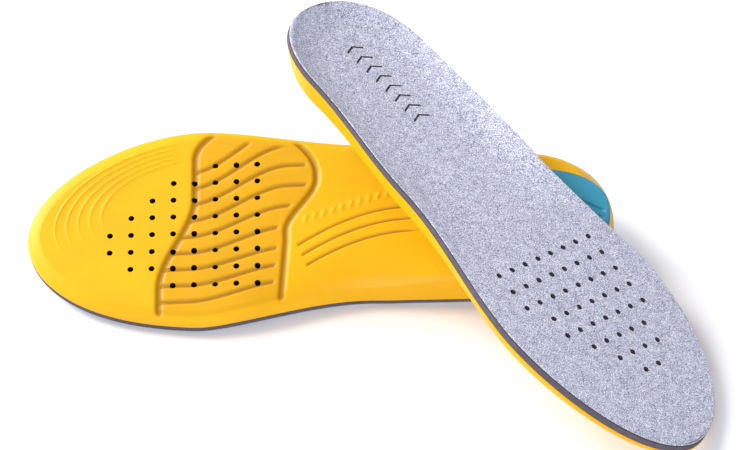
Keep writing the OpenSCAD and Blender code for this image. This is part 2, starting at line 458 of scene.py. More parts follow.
    def studs(self, x, y):
        """1 on the plain slanted studs embossed in a row beside the arch lines."""
        count, pitch, first_x, first_y, slope = 11, 4.1, 139, -0.9, 0.32
        half_length, half_width, lean_x, lean_y = 2.3, 1.05, 0.35, 0.94
        out = np.zeros_like(x)
        for k in range(count):
            cx = first_x - pitch * k
            cy = first_y - slope * (first_x - cx)
            along = np.abs((x - cx) * lean_x + (y - cy) * lean_y)
            across = np.abs((x - cx) * lean_y - (y - cy) * lean_x)
            stud = ease((half_length - along) / 0.7) * ease((half_width - across) / 0.6)
            out = np.maximum(out, stud)
        return out

    def toe_contours(self, x, y, edge):
        """1 along the fine lines round the toe, which are smaller and smaller copies of the edge."""
        cx, cy = 194, -16
        lines, first_share, step, width = 5, 0.835, 0.075, 1.7
        outer_end, inner_end = math.radians(-88), math.radians(2)
        angle = np.arctan2(edge[:, 1] - cy, edge[:, 0] - cx)
        order = np.argsort(angle)
        far = np.hypot(edge[:, 0] - cx, edge[:, 1] - cy)[order]
        turn = np.arctan2(y - cy, x - cx)
        whole = np.interp(turn, angle[order], far, period=2 * np.pi)
        share = np.hypot(x - cx, y - cy) / whole
        line = np.zeros_like(x)
        for k in range(lines):
            level = first_share - step * k
            line = np.maximum(line, channel((share - level) * whole, width))
        outer = ease((turn - outer_end) / 0.25)
        inner = 1 - ease((turn - inner_end) / 0.5)
        return line * outer * inner

    def relief(self, x, y, away):
        """Height of the moulded relief on the flat sole, at distance away from its edge."""
        field_depth = 0.35
        edge = self.sole_edge()
        toe = self.sweep_away(self.toe_sweep, x, y)
        heel = self.sweep_away(self.heel_sweep, x, y)
        field = ease(-toe / 1.2) * ease(heel / 1.2)
        inside = ease((away - 0.8) / 2.5)
        sweeps = np.maximum(channel(toe, self.sweep_width), channel(heel, self.sweep_width))
        ribs = self.rib_channels(x, y) * ease((-toe - 0.2) / 1.5) * ease((heel - 3) / 2)
        height = -field_depth * field * inside
        height = height - self.sweep_depth * sweeps * inside
        height = height - self.rib_depth * ribs * ease((away - 3) / 3)
        height = height - self.arch_line_depth * self.arch_lines(x, y)
        height = height + self.mark_height * self.studs(x, y)
        return height + self.contour_height * self.toe_contours(x, y, edge) * ease((away - 2) / 2)

    def edge_bevel(self, x, away):
        """Rise of the sole's rounded edge; it is wide at the forefoot and narrow round the heel."""
        narrow, wide, run, power = 1.8, 4.8, 40, 1.35
        width = blend(narrow, wide, (x - self.pad_front) / run)
        return self.edge_rise * np.clip(1 - away / width, 0, 1) ** power

    # Heel pad
    def pad_half(self, x, side, grow):
        """Half width of the heel pad on one side, grown all round by grow."""
        front_round, front_power = 16, 2.6
        reach = self.sole_reach(np.full_like(x, self.heel_station), side) - self.pad_margin + grow
        reach = reach - (self.pad_outer_margin if side < 0 else 0)
        run = (x - self.pad_back + grow) / (self.heel_round - self.pad_margin)
        front = rounded((x - self.pad_front - grow + front_round) / front_round, front_power)
        return reach * rounded(1 - run, self.heel_power) * front


# ---------------------------------------------------------------- meshes


def distance_to(edge, points):
    """Distance of each point from a closed row of points, in the plane of the sole."""
    tree = kdtree.KDTree(len(edge))
    for i, (x, y) in enumerate(edge):
        tree.insert((x, y, 0), i)
    tree.balance()
    flat = points.reshape(-1, 2)
    found = np.array([tree.find((x, y, 0))[2] for x, y in flat])
    return found.reshape(points.shape[:-1])


def ring_solid(name, upper, outer_wall, lower, inner_wall, flip):
    """A closed mesh from rows of rings. Each ring runs over the upper surface, down one wall, back
    along the lower surface and up the other wall, and the first and last rings close to a line."""
    rings = np.concatenate([upper, outer_wall, lower, inner_wall], axis=1)
    rows, count = rings.shape[:2]
    up, wall, low = upper.shape[1], outer_wall.shape[1], lower.shape[1]
    fold = np.arange(count)
    fold[:up] = 0
    fold[up + wall : up + wall + low] = up + wall
    fold[up + wall + low :] = np.arange(up + wall - 1, up - 1, -1)
    index = np.arange(rows * count).reshape(rows, count)
    index[0] = fold
    index[-1] = (rows - 1) * count + fold
    a, b = index[:-1], index[1:]
    quads = np.stack([a, np.roll(a, -1, 1), np.roll(b, -1, 1), b], -1).reshape(-1, 4)
    faces = [list(dict.fromkeys(q)) for q in quads.tolist()]
    faces = [f for f in faces if len(f) > 2]
    corners = np.array([p for f in faces for p in f])
    used, corners = np.unique(corners, return_inverse=True)
    points = rings.reshape(-1, 3)[used] * MM
    if flip:
        points = points * (1, 1, -1)
    mesh = bpy.data.meshes.new(name)
    starts = np.cumsum([0] + [len(f) for f in faces])
    corners = corners.tolist()
    faces = [corners[m:n] for m, n in zip(starts[:-1], starts[1:])]
    mesh.from_pydata(points.tolist(), [], faces)
    tri = np.array([f[:3] for f in faces] + [[f[0], *f[2:]] for f in faces if len(f) > 3])
    p, q, r = (points[tri[:, k]] for k in range(3))
    if (p * np.cross(q, r)).sum() < 0:
        mesh.flip_normals()
    mesh.update()
    return mesh


def both_walls(wall, upper, lower):
    """Both side walls. wall draws one from an edge of the upper and an edge of the lower surface."""
    return wall(upper[:, -1], lower[:, 0]), wall(upper[:, 0], lower[:, -1])[:, ::-1]


def vectors(items, name):
    """A vector of each of a mesh's vertices or faces, as an array."""
    out = np.empty(len(items) * 3)
    items.foreach_get(name, out)
    return out.reshape(-1, 3)


def cut_away(mesh, cutters):
    """The mesh with the cutters' solids taken out of it."""
    whole = bpy.data.objects.new("blank", mesh)
    bpy.context.scene.collection.objects.link(whole)
    tools = []
    for k, cutter in enumerate(cutters):
        tool = bpy.data.objects.new(f"cutter_{k}", cutter)
        bpy.context.scene.collection.objects.link(tool)
        tools.append(tool)
        step = whole.modifiers.new(f"cut_{k}", "BOOLEAN")
        step.operation, step.object, step.solver = "DIFFERENCE", tool, "MANIFOLD"
    graph = bpy.context.evaluated_depsgraph_get()
    result = bpy.data.meshes.new_from_object(whole.evaluated_get(graph))
    for o in (whole, *tools):
        data = o.data
        bpy.data.objects.remove(o)
        bpy.data.meshes.remove(data)
    return result


def cutter_mesh(points, faces, flip):
    """A cutter's mesh from millimetres, turned over where its insole is."""
    points = np.array(points) * MM
    if flip:
        points = points * (1, 1, -1)
        faces = [face[::-1] for face in faces]
    mesh = bpy.data.meshes.new("cutter")
    mesh.from_pydata(points.tolist(), [], faces)
    return mesh


def pins(axes, profile, flip, steps=20):
    """A closed round pin on every axis. profile gives its rows of (height, radius), lowest first."""
    turn = np.linspace(0, 2 * np.pi, steps, endpoint=False)
    points, faces = [], []
    for x, y in axes:
        base, sections = len(points), profile(x, y)
        for z, radius in sections:
            points += [(x + radius * math.cos(t), y + radius * math.sin(t), z) for t in turn]
        for row in range(len(sections) - 1):
            for k in range(steps):
                m = (k + 1) % steps
                a, b = base + row * steps, base + (row + 1) * steps
                faces.append([a + k, a + m, b + m, b + k])
        faces.append(list(range(base + steps - 1, base - 1, -1)))
        last = base + (len(sections) - 1) * steps
        faces.append(list(range(last, last + steps)))
    return cutter_mesh(points, faces, flip)


def prism(outline, low, high, flip):
    """A closed block over an outline, from one height to another."""
    count = len(outline)
    points = [(x, y, z) for z in (low, high) for x, y in outline]
    faces = [[k, (k + 1) % count, count + (k + 1) % count, count + k] for k in range(count)]
    faces += [list(range(count))[::-1], list(range(count, 2 * count))]
    return cutter_mesh(points, faces, flip)


def hold_sharp(mesh, degrees):
    """Smooth shading, but for edges over an angle."""
    mesh.shade_smooth()
    mesh.set_sharp_from_angle(angle=math.radians(degrees))


def hole_walls(shape, mesh):
    """Which faces lie on the walls of the air holes, wide mouths included; they take the painted hole
    shade.
    """
    within = shape.hole_diameter / 2 + shape.hole_flare + 0.03
    flat = vectors(mesh.polygons, "center")[:, :2] / MM
    found = np.zeros(len(flat), bool)
    for x, y in shape.hole_axes():
        found |= np.hypot(flat[:, 0] - x, flat[:, 1] - y) < within
    return found & upright(mesh)


def upright(mesh):
    """Which faces stand upright, as a die leaves them round an edge or a hole."""
    steepest_normal = 0.62
    return np.abs(vectors(mesh.polygons, "normal")[:, 2]) < steepest_normal


# ---------------------------------------------------------------- placing


def pair():
    """The two insoles: side, shape, whether it lies upside down, and its place in the frame."""
    scene = bpy.context.scene
    sizes, relief, layout = scene.insole_sizes, scene.insole_relief, scene.insole_layout
    for side, flip, drop in (("left", True, 0.0), ("right", False, layout.toe_sag)):
        shape = Insole(sizes, relief, drop)
        turn = (
            Matrix.Rotation(getattr(layout, side + "_heading"), 4, "Z")
            @ Matrix.Rotation(getattr(layout, side + "_slope"), 4, "Y")
            @ Matrix.Rotation(-getattr(layout, side + "_lean"), 4, "X")
        )
        yield side, shape, flip, place_of(shape, side, flip, turn)


def place_of(shape, side, flip, turn):
    """Where an insole's own axes lie: its cover, netted as in the CAD, fills the CAD cover's box."""
    x = shape.length * (1 - np.cos(np.pi * np.arange(CAD_ROWS + 1) / CAD_ROWS)) / 2
    v = np.arange(-CAD_COLS, CAD_COLS + 1) / CAD_COLS
    faces = [shape.surface(level, x[:, None], v[None, :]) for level in (COVER_TOP, COVER_BACK)]
    grid = np.concatenate([face.reshape(-1, 3) for face in faces]) * MM
    if flip:
        grid = grid * (1, 1, -1)
    turned = grid @ np.array(turn.to_3x3()).T
    low, high = (np.array(c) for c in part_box(side + "_top_cover"))
    shift = ((low - turned.min(0)) + (high - turned.max(0))) / 2
    return Matrix.Translation(shift.tolist()) @ turn


def finish_piece(name, mesh, place, side, materials, chosen=None):
    """Puts a mesh in the frame as a piece, and keeps its points' places on the insole's own axes.
    The chosen faces take the second material."""
    mesh.materials.clear()
    for material in materials:
        mesh.materials.append(material)
    if chosen is not None:
        mesh.polygons.foreach_set("material_index", chosen.astype(np.int32))
    own = mesh.attributes.new("own_axes", "FLOAT_VECTOR", "POINT")
    own.data.foreach_set("vector", vectors(mesh.vertices, "co").ravel())
    mesh.transform(place)
    piece = bpy.data.objects.new(name, mesh)
    bpy.context.scene.collection.objects.link(piece)
    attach(piece, side + "_insole")
    return piece


# ---------------------------------------------------------------- materials


def add_node(tree, kind, inputs=None, **settings):
    """A new node with its settings. inputs are plain values, or other nodes' outputs to link."""
    made = tree.nodes.new(kind)
    for name, value in settings.items():
        setattr(made, name, value)
    for name, value in (inputs or {}).items():
        socket = made.inputs[name]
        if isinstance(value, bpy.types.NodeSocket):
            tree.links.new(value, socket)
        else:
            socket.default_value = value
    return made


def new_material(name):
    """An empty material and its node tree."""
    material = bpy.data.materials.new(name)
    material.use_nodes = True
    tree = material.node_tree
    tree.nodes.clear()
    return material, tree


def grains(size):
    """Noise scale that gives features of a size in millimetres, on coordinates in metres."""
    return 1 / (size * MM)


def moulded_polyurethane():
    """Moulded polyurethane foam: a closed satin skin, slightly pitted, with painted shade darkening its
    grooves.
    """
    colours = bpy.context.scene.insole_colours
    material, tree = new_material("moulded_polyurethane_foam")
    place = add_node(tree, "ShaderNodeTexCoord")
    # Painted shade: the per-point groove depth darkens the foam in the sole's grooves
    depth = add_node(tree, "ShaderNodeAttribute", attribute_name="groove")
    cloud = add_node(
        tree, "ShaderNodeTexNoise",
        {"Vector": place.outputs["Object"], "Scale": grains(24), "Detail": 3.0, "Roughness": 0.5},
    )
    # Skin pores are about 0.2 mm across and are drawn 0.6 mm wide, so that they show at all
    pores = add_node(
        tree, "ShaderNodeTexNoise",
        {"Vector": place.outputs["Object"], "Scale": grains(0.6), "Detail": 4.0, "Roughness": 0.6},
    )
    shade = add_node(
        tree, "ShaderNodeMapRange",
        {"Value": cloud.outputs["Fac"], **NOISE_SPAN, "To Min": 0.0, "To Max": 0.16},
    )
    total = add_node(
        tree, "ShaderNodeMath", {0: depth.outputs["Fac"], 1: shade.outputs["Result"]},
        operation="ADD", use_clamp=True,
    )
    colour = add_node(
        tree, "ShaderNodeMix",
        {0: total.outputs["Value"], 6: (*colours.foam, 1), 7: (*colours.foam_groove_shade, 1)},
        data_type="RGBA",
    )
    rough = add_node(
        tree, "ShaderNodeMapRange",
        {"Value": pores.outputs["Fac"], **NOISE_SPAN, "To Min": 0.38, "To Max": 0.52},
    )
    bump = add_node(
        tree, "ShaderNodeBump", {"Height": pores.outputs["Fac"], "Strength": 0.25, "Distance": 0.0002}
    )
    shader = add_node(
        tree, "ShaderNodeBsdfPrincipled",
        {
            "Base Color": colour.outputs[2],
            "Roughness": rough.outputs["Result"],
            "Normal": bump.outputs["Normal"],
            "IOR": 1.48,
            "Specular IOR Level": 0.26,
        },
    )
    add_node(tree, "ShaderNodeOutputMaterial", {"Surface": shader.outputs["BSDF"]})
    return material


def painted_hole_shade():
    """The wall and mouth of a punched hole: painted shade, the foam's open cells drawn near-black for the
    dark inside the hole.
    """
    material, tree = new_material("punched_polyurethane_wall")
    place = add_node(tree, "ShaderNodeTexCoord")
    cells = add_node(
        tree, "ShaderNodeTexVoronoi", {"Vector": place.outputs["Object"], "Scale": grains(0.35)}
    )
    # Painted shade: near-black tones for the dark inside the holes
    colour = add_node(
        tree, "ShaderNodeMix",
        {0: cells.outputs["Distance"], 6: (*linear("#080502"), 1), 7: (*linear("#1A1206"), 1)},
        data_type="RGBA",
    )
    shader = add_node(
        tree, "ShaderNodeBsdfPrincipled",
        {"Base Color": colour.outputs[2], "Roughness": 0.95, "IOR": 1.48, "Specular IOR Level": 0.1},
    )
    add_node(tree, "ShaderNodeOutputMaterial", {"Surface": shader.outputs["BSDF"]})
    return material


def moulded_elastomer():
    """Moulded thermoplastic elastomer: an even, slightly greasy satin with a fine tool grain."""
    colours = bpy.context.scene.insole_colours
    material, tree = new_material("moulded_thermoplastic_elastomer")
    place = add_node(tree, "ShaderNodeTexCoord")
    # Spark-eroded tool grain is about 0.15 mm and is drawn 0.45 mm wide, so that it shows
    grain = add_node(
        tree, "ShaderNodeTexNoise",
        {"Vector": place.outputs["Object"], "Scale": grains(0.45), "Detail": 3.0, "Roughness": 0.6},
    )
    cloud = add_node(
        tree, "ShaderNodeTexNoise",
        {"Vector": place.outputs["Object"], "Scale": grains(9), "Detail": 2.0},
    )
    colour = add_node(
        tree, "ShaderNodeMix",
        {0: cloud.outputs["Fac"], 6: (*colours.pad, 1), 7: (*linear("#2E8DAA"), 1)},
        data_type="RGBA",
    )
    rough = add_node(
        tree, "ShaderNodeMapRange",
        {"Value": grain.outputs["Fac"], **NOISE_SPAN, "To Min": 0.34, "To Max": 0.48},
    )
    bump = add_node(
        tree, "ShaderNodeBump", {"Height": grain.outputs["Fac"], "Strength": 0.3, "Distance": 0.00015}
    )
    shader = add_node(
        tree, "ShaderNodeBsdfPrincipled",
        {
            "Base Color": colour.outputs[2],
            "Roughness": rough.outputs["Result"],
            "Normal": bump.outputs["Normal"],
            "IOR": 1.5,
            "Specular IOR Level": 0.5,
        },
    )
    add_node(tree, "ShaderNodeOutputMaterial", {"Surface": shader.outputs["BSDF"]})
    return material


def cut_eva_foam():
    """Die-cut closed-cell EVA foam: matt charcoal, with the cells cut open along its edge."""
    colours = bpy.context.scene.insole_colours
    material, tree = new_material("die_cut_eva_foam")
    place = add_node(tree, "ShaderNodeTexCoord")
    # Cells are 0.2 mm across and are drawn 0.55 mm wide, so that the cut edge looks open
    cells = add_node(
        tree, "ShaderNodeTexVoronoi", {"Vector": place.outputs["Object"], "Scale": grains(0.55)}
    )
    cloud = add_node(
        tree, "ShaderNodeTexNoise",
        {"Vector": place.outputs["Object"], "Scale": grains(3), "Detail": 3.0},
    )
    light = add_node(
        tree, "ShaderNodeMath", {0: cells.outputs["Distance"], 1: cloud.outputs["Fac"]},
        operation="MULTIPLY",
    )
    colour = add_node(
        tree, "ShaderNodeMix",
        {0: light.outputs["Value"], 6: (*colours.lining, 1), 7: (*linear("#726B72"), 1)},
        data_type="RGBA",
    )
    bump = add_node(
        tree, "ShaderNodeBump", {"Height": cells.outputs["Distance"], "Strength": 0.5, "Distance": 0.0002}
    )
    shader = add_node(
        tree, "ShaderNodeBsdfPrincipled",
        {
            "Base Color": colour.outputs[2],
            "Normal": bump.outputs["Normal"],
            "Roughness": 0.88,
            "IOR": 1.49,
            "Specular IOR Level": 0.2,
        },
    )
    add_node(tree, "ShaderNodeOutputMaterial", {"Surface": shader.outputs["BSDF"]})
    return material


def heel_mark(tree, x, y, fray):
    """Mask of the plain printed mark on the heel seat: a row of eight open chevrons."""
    start, middle, pitch, half, stroke, lean = 0.0215, 0.0045, 0.0066, 0.0052, 0.0010, 0.45
    half_row, fringe, clear, solid = 4.0, 0.0005, 0.00042, 0.00018
    # Each step's name, operation and inputs, which are plain values or the names of other steps
    steps = (
        ("beside", "SUBTRACT", "y", middle),
        ("across", "ABSOLUTE", "beside"),
        ("ahead", "SUBTRACT", "x", start),
        ("lag", "MULTIPLY", "across", lean),
        ("along", "SUBTRACT", "ahead", "lag"),
        ("turn", "DIVIDE", "along", pitch),
        ("phase", "FRACT", "turn"),
        ("shift", "SUBTRACT", "phase", 0.5),
        ("off_centre", "ABSOLUTE", "shift"),
        ("from_line", "MULTIPLY", "off_centre", pitch),
        ("fluff", "MULTIPLY", "fray", fringe),
        ("frayed", "ADD", "from_line", "fluff"),
        ("past_middle", "SUBTRACT", "turn", half_row),
        ("from_middle", "ABSOLUTE", "past_middle"),
        ("in_row", "LESS_THAN", "from_middle", half_row),
        ("in_height", "LESS_THAN", "across", half),
        ("inside", "MULTIPLY", "in_row", "in_height"),
    )
    values = {"x": x, "y": y, "fray": fray}
    for name, operation, *inputs in steps:
        inputs = {k: values.get(value, value) for k, value in enumerate(inputs)}
        made = add_node(tree, "ShaderNodeMath", inputs, operation=operation)
        values[name] = made.outputs["Value"]
    line = add_node(
        tree, "ShaderNodeMapRange",
        {"Value": values["frayed"], "From Min": stroke / 2 + clear, "From Max": stroke / 2 + solid},
    )
    mark = add_node(
        tree, "ShaderNodeMath", {0: line.outputs["Result"], 1: values["inside"]},
        operation="MULTIPLY",
    )
    return mark.outputs["Value"]


def brushed_polyester():
    """Brushed polyester velour: heathered lavender grey, its nap raised, with light and dark tips."""
    colours = bpy.context.scene.insole_colours
    material, tree = new_material("brushed_polyester_velour")
    place = add_node(tree, "ShaderNodeTexCoord")
    own = add_node(tree, "ShaderNodeAttribute", attribute_name="own_axes")
    axes = add_node(tree, "ShaderNodeSeparateXYZ", {"Vector": own.outputs["Vector"]})
    # Fibres are 0.02 mm thick; their tufts are drawn 0.5 mm wide, the finest that still shows
    tufts = add_node(
        tree, "ShaderNodeTexNoise",
        {"Vector": place.outputs["Object"], "Scale": grains(0.5), "Detail": 4.0, "Roughness": 0.75},
    )
    brushing = add_node(
        tree, "ShaderNodeTexNoise",
        {"Vector": place.outputs["Object"], "Scale": grains(3.2), "Detail": 3.0, "Roughness": 0.6},
    )
    mixed = add_node(
        tree, "ShaderNodeMix", {0: 0.14, 2: tufts.outputs["Fac"], 3: brushing.outputs["Fac"]},
        data_type="FLOAT",
    )
    shades = add_node(tree, "ShaderNodeValToRGB", {"Fac": mixed.outputs[0]})
    ramp = shades.color_ramp
    ramp.elements[0].position, ramp.elements[0].color = 0.40, (*linear("#646379"), 1)
    ramp.elements[1].position, ramp.elements[1].color = 0.605, (*linear("#F6F7FF"), 1)
    middle = ramp.elements.new(0.5)
    middle.color = (*colours.cover, 1)
    mark = heel_mark(tree, axes.outputs["X"], axes.outputs["Y"], tufts.outputs["Fac"])
    colour = add_node(
        tree, "ShaderNodeMix",
        {0: mark, 6: shades.outputs["Color"], 7: (*linear("#23232B"), 1)},
        data_type="RGBA",
    )
    bump = add_node(
        tree, "ShaderNodeBump", {"Height": mixed.outputs[0], "Strength": 0.55, "Distance": 0.0004}
    )
    shader = add_node(
        tree, "ShaderNodeBsdfPrincipled",
        {
            "Base Color": colour.outputs[2],
            "Normal": bump.outputs["Normal"],
            "Roughness": 0.95,
            "IOR": 1.53,
            "Specular IOR Level": 0.12,
            "Sheen Weight": 0.12,
            "Sheen Roughness": 0.5,
        },
    )
    add_node(tree, "ShaderNodeOutputMaterial", {"Surface": shader.outputs["BSDF"]})
    return material


def cut_fabric():
    """The cut edge of the cover: the knit's dull ground, without the brushed nap."""
    material, tree = new_material("die_cut_polyester_knit")
    place = add_node(tree, "ShaderNodeTexCoord")
    ends = add_node(
        tree, "ShaderNodeTexNoise",
        {"Vector": place.outputs["Object"], "Scale": grains(0.4), "Detail": 3.0, "Roughness": 0.7},
    )
    colour = add_node(
        tree, "ShaderNodeMix",
        {0: ends.outputs["Fac"], 6: (*linear("#2A2833"), 1), 7: (*linear("#55505F"), 1)},
        data_type="RGBA",
    )
    shader = add_node(
        tree, "ShaderNodeBsdfPrincipled",
        {"Base Color": colour.outputs[2], "Roughness": 0.97, "IOR": 1.53, "Specular IOR Level": 0.1},
    )
    add_node(tree, "ShaderNodeOutputMaterial", {"Surface": shader.outputs["BSDF"]})
    return material


def paper_sweep():
    """Seamless matt paper: pale and even."""
    colours = bpy.context.scene.insole_colours
    material, tree = new_material("matt_paper_sweep")
    shader = add_node(
        tree, "ShaderNodeBsdfPrincipled",
        {"Base Color": (*colours.floor, 1), "Roughness": 0.95, "Specular IOR Level": 0.1},
    )
    add_node(tree, "ShaderNodeOutputMaterial", {"Surface": shader.outputs["BSDF"]})
    return material


# ---------------------------------------------------------------- pieces


def foam_body_mesh(shape, flip):
    """The moulded body: relief on its sole, bevelled edge, draughted wall, holes and heel recess."""
    x = shape.stations(520)[:, None]
    upper = shape.surface(FOAM_TOP, x, np.linspace(-1, 1, 29)[None, :])
    lower = shape.surface(SOLE, x, np.linspace(1, -1, 141)[None, :])
    away = distance_to(shape.sole_edge(), lower[..., :2])
    lower[..., 2] += shape.edge_bevel(lower[..., 0], away)
    lower[..., 2] -= shape.relief(lower[..., 0], lower[..., 1], away)
    # Share of the way down the wall, and how far it stands out there; the second is the parting line
    profile = (
        (0.05, 0.02), (0.09, 0.22), (0.13, 0.05), (0.32, 0.26),
        (0.52, 0.34), (0.72, 0.3), (0.88, 0.18), (0.96, 0.08),
    )

    def wall(eave, edge):
        out = eave[:, :2] - edge[:, :2]
        out = out / np.maximum(np.linalg.norm(out, axis=1, keepdims=True), 1e-6)
        rows = []
        for share, stand in profile:
            row = eave * (1 - share) + edge * share
            row[:, :2] += out * stand
            rows.append(row)
        return np.stack(rows, axis=1)

    outer, inner = both_walls(wall, upper, lower)
    mesh = ring_solid("foam_body", upper, outer, lower, inner, flip)
    radius, high = shape.hole_diameter / 2, shape.heel_rim + 2

    def pin(x, y):
        station = (x - shape.heel_spread) / shape.sole_span() * shape.length
        sole = float(shape.sag(station))
        mouth = radius + shape.hole_flare
        return [(sole - 3, mouth), (sole + 1.5, mouth), (sole + 2.2, radius), (high, radius)]

    x = pad_stations(shape, 80, shape.pad_gap)
    sides = [np.stack([x, side * shape.pad_half(x, side, shape.pad_gap)], -1) for side in (-1, 1)]
    outline = np.concatenate([sides[0], sides[1][-2:0:-1]])
    pocket = prism(outline.tolist(), -2, shape.pad_depth + shape.pad_gap, flip)
    mesh = cut_away(mesh, [pins(shape.hole_axes(), pin, flip), pocket])
    points = vectors(mesh.vertices, "co") / MM
    # Painted shade in the grooves: relief of this depth or more gets the whole of the darker colour
    full_depth = 1.05
    low = (points[:, 2] * (-1 if flip else 1) - shape.sag(points[:, 0])) < 3
    away = distance_to(shape.sole_edge(), points[low, :2])
    groove = np.zeros(len(points))
    deep = -shape.relief(points[low, 0], points[low, 1], away) / full_depth
    groove[low] = np.clip(deep, 0, 1) * ease(away / 2)
    mesh.attributes.new("groove", "FLOAT", "POINT").data.foreach_set("value", groove)
    hold_sharp(mesh, 48)
    return mesh


def pad_stations(shape, rows, grow):
    """Stations along the heel pad, closer together towards its ends."""
    run = (1 - np.cos(np.linspace(0, np.pi, rows + 1))) / 2
    return shape.pad_back - grow + (shape.pad_front - shape.pad_back + 2 * grow) * run


def heel_pad_mesh(shape, flip):
    """The shock pad: flat inside its recess, with a rounded edge and swept channels outside."""
    x = pad_stations(shape, 190, 0)
    reach = {side: shape.pad_half(x, side, 0) for side in (1, -1)}
    centre = np.array([(shape.pad_back + shape.pad_front) / 2, 0])
    widest = shape.pad_half(np.array([40.0]), 1, 0)[0]
    half = np.array([(shape.pad_front - shape.pad_back) / 2, widest])

    def level(v, z, inset):
        y = np.where(v > 0, reach[1][:, None] * v, reach[-1][:, None] * v)
        flat = np.stack(np.broadcast_arrays(x[:, None], y), -1)
        flat = centre + (flat - centre) * (1 - inset / half)
        return np.concatenate([flat, np.full((*flat.shape[:2], 1), float(z))], -1)

    def side_row(side, z, inset):
        return level(np.array([[side]]), z, inset)

    rounding = 1.3
    low = -shape.pad_proud
    upper = level(np.linspace(-1, 1, 15)[None, :], shape.pad_depth, 0)
    lower = level(np.linspace(1, -1, 121)[None, :], low, rounding)
    edge = np.concatenate([side_row(s, low, rounding)[::s, 0, :2] for s in (1, -1)])
    away = distance_to(edge, lower[..., :2])
    lower[..., 2] += pad_relief(lower[..., 0], lower[..., 1]) * ease((away - 0.5) / 2.5)
    steps = [(shape.pad_depth * 0.5, 0), (0.7, 0)]
    for turn in (0, 20, 40, 60, 78):
        a = math.radians(turn)
        steps.append((low + rounding * (1 - math.sin(a)), rounding * (1 - math.cos(a))))
    outer = np.concatenate([side_row(1, z, inset) for z, inset in steps], axis=1)
    inner = np.concatenate([side_row(-1, z, inset) for z, inset in steps[::-1]], axis=1)
    mesh = ring_solid("heel_pad", upper, outer, lower, inner, flip)
    hold_sharp(mesh, 48)
    return mesh


def pad_relief(x, y):
    """Depth of the swept channels on the heel pad; they run in pairs from its back outwards."""
    first_x, first_y, lean_x, lean_y, bow = 5.7, 1.5, 0.56, 0.83, 0.004
    pairs, pitch, gap, depth, wide, narrow = 4, 9, 3.2, 0.9, 2.2, 1.8
    across = (y - first_y) * lean_y + (x - first_x) * lean_x + bow * (x - 20) ** 2
    cut = np.zeros_like(x)
    for k in range(pairs):
        cut = np.maximum(cut, channel(across - pitch * k, wide))
        cut = np.maximum(cut, 0.6 * channel(across - pitch * k - gap, narrow))
    return depth * cut


def lining_mesh(shape, flip):
    """The cut foam sheet, with its edge drawn slightly in between its two faces."""
    x = shape.stations(300)[:, None]
    upper = shape.surface(LINING_TOP, x, np.linspace(-1, 1, 29)[None, :])
    lower = shape.surface(LINING_BACK, x, np.linspace(1, -1, 29)[None, :])
    centre = np.array([shape.length / 2, 0, 0])
    half = np.array([shape.length / 2, shape.ball_width / 2, 1])
    pull = np.array([1, 1, 0]) / half

    def wall(top, bottom):
        rows = []
        for share, inset in ((0.12, 0.05), (0.35, 0.16), (0.65, 0.16), (0.88, 0.05)):
            row = top * (1 - share) + bottom * share
            rows.append(row - (row - centre) * pull * inset)
        return np.stack(rows, axis=1)

    outer, inner = both_walls(wall, upper, lower)
    mesh = ring_solid("lining", upper, outer, lower, inner, flip)
    radius = shape.hole_diameter / 2

    def pin(x, y):
        return [(-shape.drop - 3, radius), (shape.heel_rim + 2, radius)]

    mesh = cut_away(mesh, [pins(shape.hole_axes(), pin, flip)])
    hold_sharp(mesh, 45)
    return mesh


def top_cover_mesh(shape, flip):
    """The fabric: a raised, uneven nap, a rolled cut edge and punched holes."""
    x = shape.stations(420)[:, None]
    v = np.linspace(-1, 1, 121)[None, :]
    roll = 0.55
    centre = np.array([shape.length / 2, 0])
    half = np.array([shape.length / 2, shape.ball_width / 2])

    def inset_by(points, inset, drop):
        points = points.copy()
        points[..., :2] -= (points[..., :2] - centre) / half * inset
        points[..., 2] -= drop
        return points

    full = shape.surface(COVER_TOP, x, v)
    upper = inset_by(full, roll, 0)
    tufts = np.random.default_rng(11).normal(0, 1, upper.shape[:2])
    px, py = upper[..., 0], upper[..., 1]
    waves = np.sin(px / 9.1 + 1.3 * np.sin(py / 13)) * np.sin(py / 7.7 + 0.9 * np.sin(px / 17))
    nap, swell = 0.035, 0.07
    upper[..., 2] += nap * tufts + swell * waves
    lower = shape.surface(COVER_BACK, x, np.linspace(1, -1, 29)[None, :])

    def wall(eave, back):
        rows = []
        for turn in (25, 50, 75):
            a = math.radians(turn)
            rows.append(inset_by(eave, roll * (1 - math.sin(a)), roll * (1 - math.cos(a))))
        rows.append(eave * 0.3 + back * 0.7)
        return np.stack(rows, axis=1)

    outer, inner = both_walls(wall, full, lower)
    mesh = ring_solid("top_cover", upper, outer, lower, inner, flip)
    radius = shape.hole_diameter / 2

    def pin(x, y):
        side = y - float(shape.middle(x))
        top = float(shape.surface(COVER_TOP, x, side / float(shape.reach(x, side)))[2])
        return [
            (-shape.drop - 3, radius + 0.25),
            (top - 0.2, radius + 0.25),
            (top + 0.05, radius + shape.hole_flare),
            (top + 3, radius + shape.hole_flare),
        ]

    mesh = cut_away(mesh, [pins(shape.hole_axes(), pin, flip)])
    hold_sharp(mesh, 60)
    return mesh


class INSOLES_OT_foam_bodies(bpy.types.Operator):
    """Make the two moulded foam bodies"""

    bl_idname = "insoles.foam_bodies"
    bl_label = "Foam bodies"

    def execute(self, context):
        materials = [moulded_polyurethane(), painted_hole_shade()]
        for side, shape, flip, place in pair():
            mesh = foam_body_mesh(shape, flip)
            # The hole walls and their mouths are painted near-black as shade
            holes = hole_walls(shape, mesh)
            name = f"{side}_moulded_body"
            piece = finish_piece(name, mesh, place, side, materials, holes)
            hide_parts(f"{side}_foam_body")
        return {"FINISHED"}


